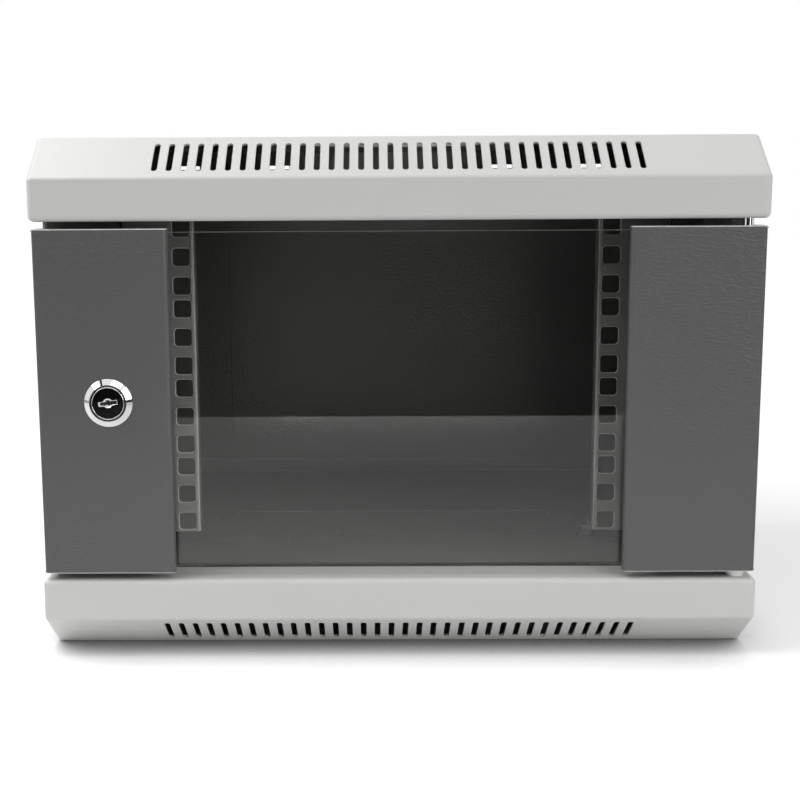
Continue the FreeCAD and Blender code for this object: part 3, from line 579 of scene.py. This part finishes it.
stud_pitch = 0.001
stud = bmesh.new()
middle, size = solids_of("ground_stud")[0]
threaded(stud, size.x / 2, stud_pitch, size.z)
bmesh.ops.translate(stud, vec=middle - upwards * size.z / 2, verts=stud.verts)
shaped("ground_stud_threaded", stud, steel, "cabinet", "ground_stud")
stamped_edge = 0.0002
dress("ground_washer", "cabinet", steel, stamped_edge)
for node, body in (("lock_nut", "door"), ("lock_cam", "lock_core"), ("hinge_pin_clip", "hinge_bolt")):
    dress(node, body, zinc, stamped_edge)
spring = dress("hinge_spring", "door", zinc)
low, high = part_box("hinge_spring")
travel = [joint["range_m"][1] for joint in frame["record"]["behaviour"]["joints"]
          if joint["name"] == "hinge_bolt_slide"][0]
1 - travel / (high - low).z
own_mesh(spring)


# Door buttons. Two soft black rubber buttons on the left front flange that the closed door rests on.
button_edge = 0.0008
rubber, shader, place = finish("rubber")
bloom = grain(place, 600.0)
paint(shader, Base_Color=bloom.tint((0.015, 0.015, 0.015), (0.028, 0.028, 0.028)),
      Roughness=0.7 + 0.15 * bloom)
dress("door_bumpers", "cabinet", rubber, button_edge)


# Studio. A table that ends below the camera and glows white to the camera, with a painted falloff of
# light that darkens it towards its front edge and a painted contact shadow near the cabinet, a dark wall
# and four black cards that the camera looks through and gloss mirrors, three soft lamps, three bare
# points for glints, and a surround that is white to the camera.
def stage_plane(name, corners, material):
    """Flat sheet of the studio, which isn't part of the cabinet."""
    form = bmesh.new()
    form.faces.new([form.verts.new(corner) for corner in corners])
    mesh = mesh_of(form, name)
    mesh.materials.append(material)
    put(name, mesh)


table_front, table_back, table_reach = -0.858, 5, 4
whitest_from, glow_from, glow_full = -0.28, 0.2, 1.6
table_top, shader, place = finish("table_top", Roughness=0.9)
depth = place.node("ShaderNodeSeparateXYZ", {}, {"Vector": place}, "Y")
nearness = depth.node("ShaderNodeMapRange", {},
                      {"Value": depth, "From Min": table_front, "From Max": whitest_from})
farness = depth.node("ShaderNodeMapRange", {},
                     {"Value": depth, "From Min": glow_from, "From Max": glow_full})
# Painted falloff of light: the table's colour darkens towards its front edge, which shows in reflections.
falloff_tone = nearness.node("ShaderNodeValToRGB", {
    "stops": ((0.0, 0.46), (0.24, 0.51), (0.62, 0.60), (0.82, 0.76), (1.0, 0.88))}, {"Fac": nearness})
# Painted contact shadow: ambient occlusion darkens the table's colour and its glow for camera rays near
# the cabinet.
contact = place.node("ShaderNodeAmbientOcclusion", {"samples": 8}, {"Distance": 0.06}, "AO")
to_camera = rays(place, "Is Camera Ray")
shade = 1.0 - to_camera * (1.0 - contact.math("MINIMUM", 1.25 * contact, 1.0))
paint(shader, Base_Color=falloff_tone.node("ShaderNodeVectorMath", {"operation": "SCALE"},
                                        {0: falloff_tone, "Scale": shade}))
brightness = 0.32 + 0.3 * farness + 0.9 * (1.0 - nearness)
glow = place.node("ShaderNodeEmission", {},
                  {"Color": (1, 1, 1, 1), "Strength": to_camera * shade * brightness})
lit = Signal(place.tree, shader.outputs["BSDF"])
cover(table_top, place.node("ShaderNodeAddShader", {}, {0: lit, 1: glow}))
stage_plane("table", [(-table_reach, table_front, 0), (table_reach, table_front, 0),
                      (table_reach, table_back, 0), (-table_reach, table_back, 0)], table_top)

dark_cloth, shader, place = finish("dark_cloth", Base_Color=(0.01, 0.01, 0.01, 1), Roughness=1.0)
let_through(dark_cloth, shader, rays(place, "Is Camera Ray", "Is Shadow Ray"), (1, 1, 1, 1))
wall_reach, wall_place, wall_low, wall_high = 2.2, -1.6, -0.6, 1.1
stage_plane("dark_wall", [(-wall_reach, wall_place, wall_low), (wall_reach, wall_place, wall_low),
                          (wall_reach, wall_place, wall_high), (-wall_reach, wall_place, wall_high)],
            dark_cloth)

card_distance, half_card = 1.1, 0.3
sideways, forwards = 0.90, -0.44        # of a card's direction from the lock
for turn, breadth in ((122, 0.09), (67, 0.08), (56, 0.08), (3, 0.27)):
    toward = Vector((sideways * cos(radians(turn)), forwards, sideways * sin(radians(turn))))
    across = Vector((-sin(radians(turn)), 0, cos(radians(turn))))
    middle = lock_centre + card_distance * toward
    along = half_card * toward.cross(across)
    across = across * breadth / 2
    stage_plane("black_card_%03d" % turn, [middle - across - along, middle + across - along,
                                           middle + across + along, middle - across + along], dark_cloth)


def softbox(name, place, aim, width, height, watts):
    """Rectangular soft lamp at place that shines towards aim."""
    lamp = bpy.data.lights.new(name, "AREA")
    lamp.shape = "RECTANGLE"
    lamp.size = width
    lamp.size_y = height
    lamp.energy = watts
    light = put(name, lamp)
    light.location = place
    light.rotation_euler = (Vector(aim) - Vector(place)).to_track_quat("-Z", "Y").to_euler()


softbox("overhead", (-0.70, -0.15, 1.00), (-0.10, 0, 0.25), 0.9, 1.0, 10.4)
softbox("high_front", (0.1, -1.3, 1.3), (0, 0, 0.13), 1.2, 0.6, 3.6)
softbox("right_fill", (1.05, -1.15, 0.6), (0, 0, 0.13), 0.8, 0.9, 8.2)
for across in (-0.09, 0.015, 0.12):
    lamp = bpy.data.lights.new("spark", "POINT")
    lamp.energy = 0.5
    lamp.shadow_soft_size = 0.0
    put("spark", lamp).location = (across, -0.92, 0.03)

daylight = 0.46                         # strength of the surround's light on the cabinet
world = bpy.data.worlds.new("surround")
world.use_nodes = True
bpy.context.scene.world = world
background = world.node_tree.nodes["Background"]
background.inputs["Color"].default_value = (1, 1, 1, 1)
sky = Signal(world.node_tree, background.outputs["Background"])
looked_at = rays(sky, "Is Camera Ray", "Is Glossy Ray", "Is Transmission Ray")
strength = daylight + looked_at * (1.0 - daylight)
sky.tree.links.new(strength.socket, background.inputs["Strength"])

camera_data = bpy.data.cameras.new("camera")
camera_data.lens = 60.03
camera_data.sensor_width = 36
camera_data.shift_x = 0.0525
camera = put("camera", camera_data)
camera.location = (-0.0148, -0.8084, 0.2443)
camera.rotation_euler = (radians(80.85), radians(0.326), radians(0.454))
bpy.context.scene.camera = camera
bpy.context.scene.view_settings.view_transform = "Standard"
